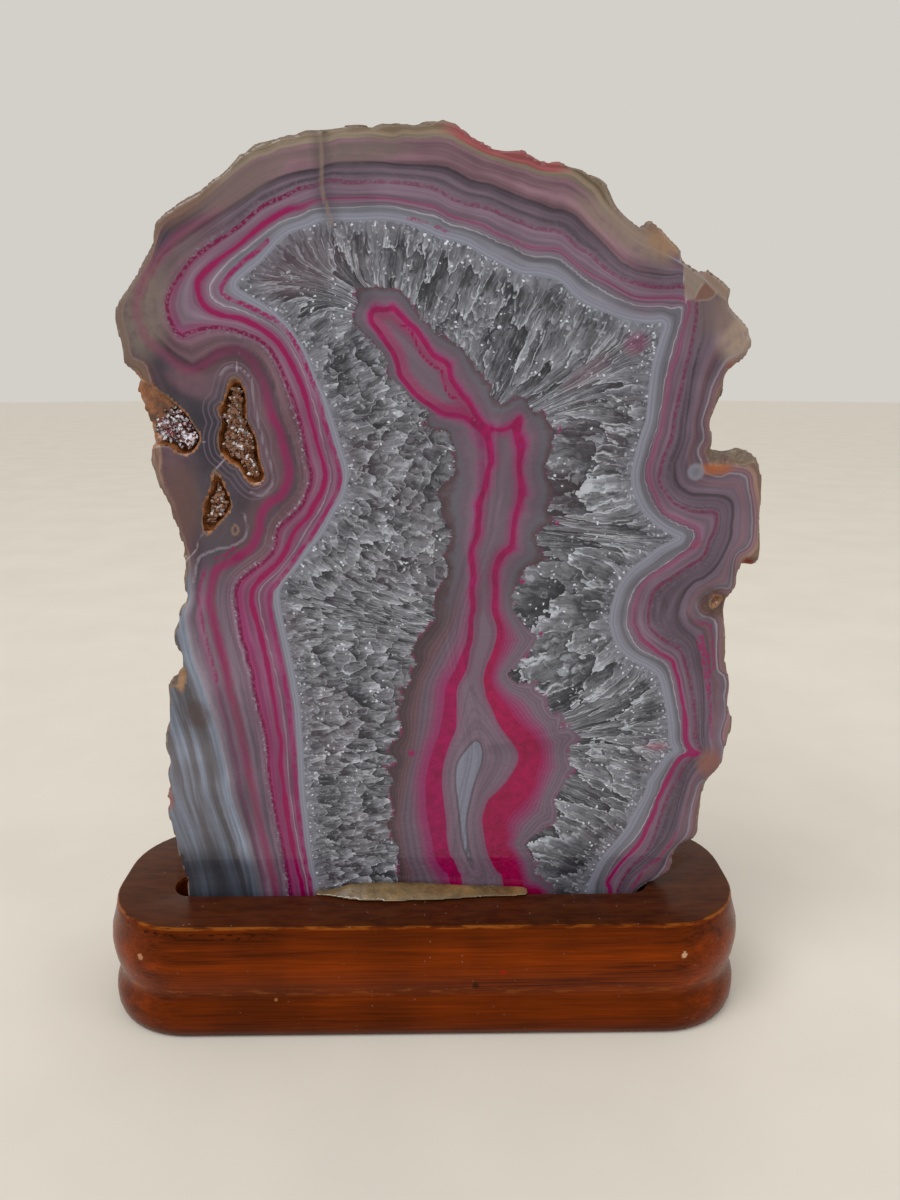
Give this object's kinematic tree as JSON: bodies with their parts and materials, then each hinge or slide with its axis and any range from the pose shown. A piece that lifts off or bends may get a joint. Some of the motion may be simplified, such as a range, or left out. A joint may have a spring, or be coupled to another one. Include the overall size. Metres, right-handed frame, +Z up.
{
  "type": "agate slice",
  "caption": "Polished banded agate slice standing on edge in a slotted wooden stand, with crystal-lined hollows on one side and a bead of glue along the slot",
  "frame": {"origin": "centre of the stand's footprint, on the surface that it stands on", "axes": "+Z up along the slice's height, +X along the stand to the right as seen from the polished front, +Y from the polished front to the back"},
  "size_m": [0.164, 0.054, 0.2125],
  "materials": {
    "agate": "polished",
    "lacquered_wood": "glossy lacquer",
    "glue": "glossy",
    "pale_crystals": "sparkling crystal points",
    "brown_crystals": "sparkling crystal points"
  },
  "bodies": {
    "root": {"agate_slice": "agate", "wooden_stand": "lacquered_wood", "glue_bead": "glue", "edge_pocket_crystals": "pale_crystals", "tall_pocket_crystals": "brown_crystals", "small_pocket_crystals": "brown_crystals"}
  },
  "joints": []
}
